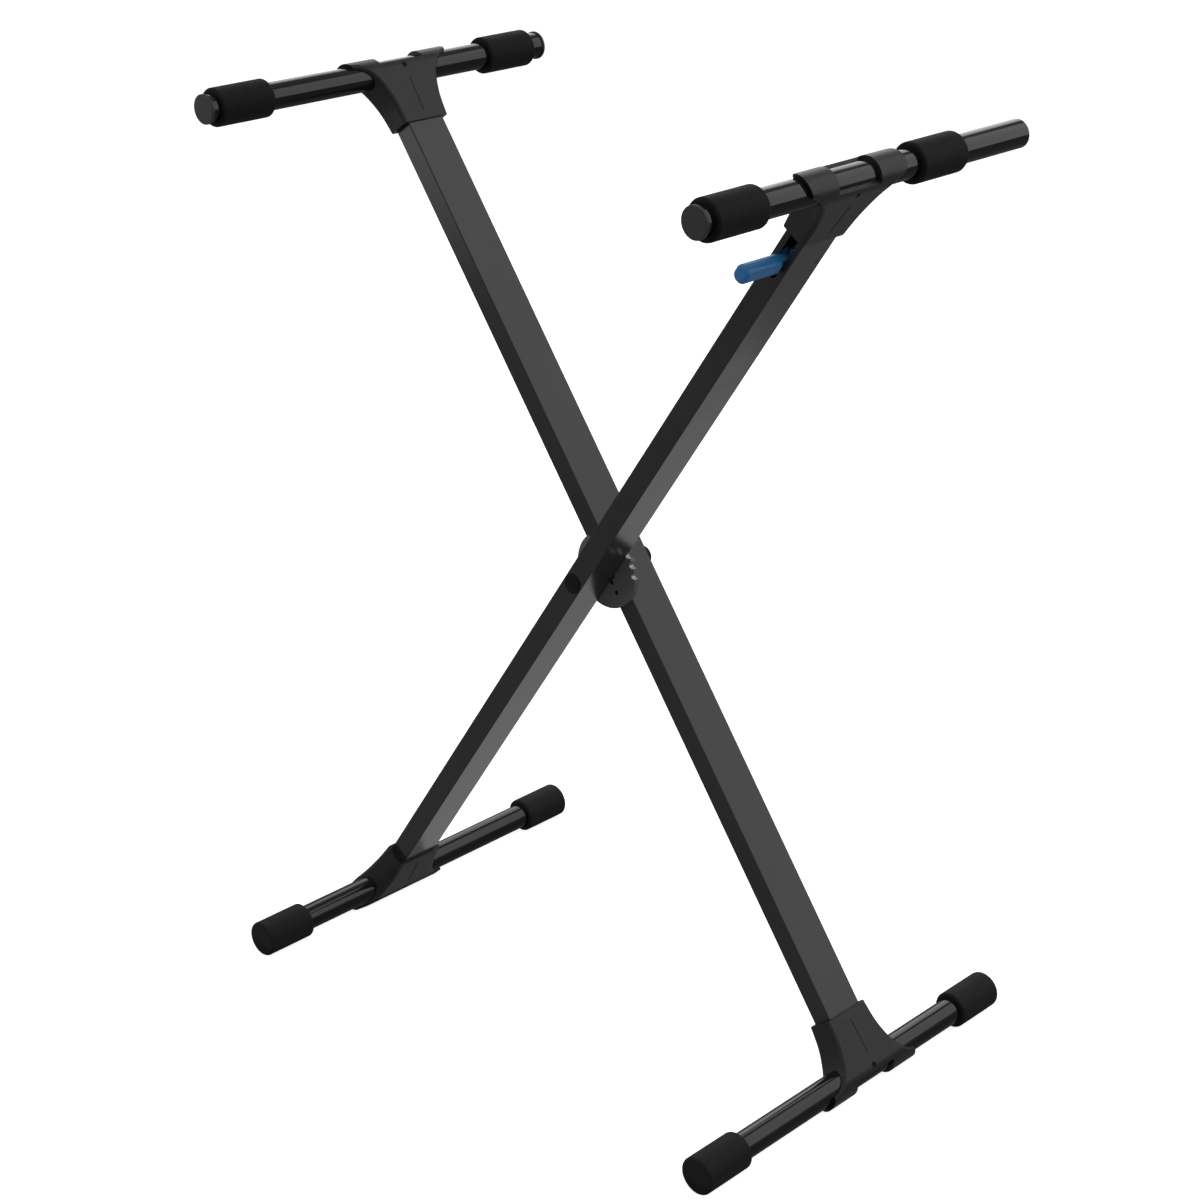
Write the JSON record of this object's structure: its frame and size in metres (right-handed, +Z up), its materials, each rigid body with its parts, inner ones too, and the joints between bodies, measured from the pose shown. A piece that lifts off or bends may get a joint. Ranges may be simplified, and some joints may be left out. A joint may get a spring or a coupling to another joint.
{
  "type": "keyboard stand",
  "caption": "Folding X-shaped stand that carries a keyboard on two padded bars; crossed legs lock at set angles by a sprung pin in a notched disc, freed by a blue trigger.",
  "frame": {"origin": "middle of the footprint, on the floor under the pivot", "axes": "+X along the floor in the plane of the crossed legs, from the foot of the trigger leg to its top; +Y along the bars, away from the trigger; +Z up"},
  "size_m": [0.5938, 0.391, 0.8292],
  "materials": {
    "leg_paint": "gloss",
    "bar_gloss": "high gloss",
    "bracket_plastic": "satin",
    "sleeve_rubber": "matte",
    "foot_rubber": "matte",
    "cap_plastic": "satin",
    "trigger_blue": "satin",
    "disc_black": "satin",
    "dark_steel": "blackened",
    "steel": "zinc plated",
    "nylon": "natural nylon"
  },
  "bodies": {
    "rear_frame": {"rear_leg_tube": "leg_paint", "rear_top_bracket": "bracket_plastic", "rear_foot_bracket": "bracket_plastic", "rear_bracket_screws": "dark_steel", "rear_top_bar": "bar_gloss", "rear_foot_bar": "bar_gloss", "rear_top_bar_caps": "cap_plastic", "rear_foot_cap_near": "foot_rubber", "rear_foot_cap_far": "foot_rubber", "lock_disc": "disc_black", "disc_rivets": "steel", "pivot_bolt": "steel", "pivot_nut": "steel", "pivot_washers": "steel", "rear_pivot_spacer": "steel"},
    "front_frame": {"front_leg_tube": "leg_paint", "front_top_bracket": "bracket_plastic", "front_foot_bracket": "bracket_plastic", "front_bracket_screws": "dark_steel", "front_top_bar": "bar_gloss", "front_foot_bar": "bar_gloss", "front_top_bar_cap": "cap_plastic", "front_top_bar_plug": "cap_plastic", "front_foot_cap_near": "foot_rubber", "front_foot_cap_far": "foot_rubber", "pivot_bush": "nylon", "pivot_plug": "cap_plastic", "trigger_pin": "steel", "rod_guides": "nylon", "spring_stop": "nylon", "lock_spring": "steel"},
    "trigger": {"release_trigger": "trigger_blue"},
    "lock": {"pull_rod": "steel", "rod_collar": "steel", "lock_slider": "nylon", "lock_pin": "steel"},
    "rear_near_rest": {"rear_sleeve_near": "sleeve_rubber"},
    "rear_far_rest": {"rear_sleeve_far": "sleeve_rubber"},
    "front_near_rest": {"front_sleeve_near": "sleeve_rubber"},
    "front_far_rest": {"front_sleeve_far": "sleeve_rubber"}
  },
  "joints": [
    {"name": "leg_pivot", "type": "hinge", "parent": "rear_frame", "child": "front_frame", "pos_m": [0, 0, 0.41543], "axis": [0, 1, 0], "range_deg": [-66, 49.5]},
    {"name": "trigger_squeeze", "type": "hinge", "parent": "front_frame", "child": "trigger", "pos_m": [0.2323, -0.0127, 0.74597], "axis": [-0.8181, 0, 0.575], "range_deg": [-12, 12], "stiffness_Nm_per_rad": 0.8, "springref_deg": -34.38},
    {"name": "lock_draw", "type": "slide", "parent": "front_frame", "child": "lock", "axis": [0.575, 0, 0.8181], "range_m": [-0.0045, 0.0045], "deforming": ["lock_spring"]},
    {"name": "rear_near_slide", "type": "slide", "parent": "rear_frame", "child": "rear_near_rest", "axis": [0, 1, 0], "range_m": [-0.0064, 0.0897]},
    {"name": "rear_far_slide", "type": "slide", "parent": "rear_frame", "child": "rear_far_rest", "axis": [0, 1, 0], "range_m": [-0.0444, 0.0131]},
    {"name": "front_near_slide", "type": "slide", "parent": "front_frame", "child": "front_near_rest", "axis": [0, 1, 0], "range_m": [-0.0059, 0.0442]},
    {"name": "front_far_slide", "type": "slide", "parent": "front_frame", "child": "front_far_rest", "axis": [0, 1, 0], "range_m": [-0.0183, 0.0857]}
  ],
  "couplings": [
    {"joint": "lock_draw", "follows": "trigger_squeeze", "m_per_rad": 0.021}
  ]
}
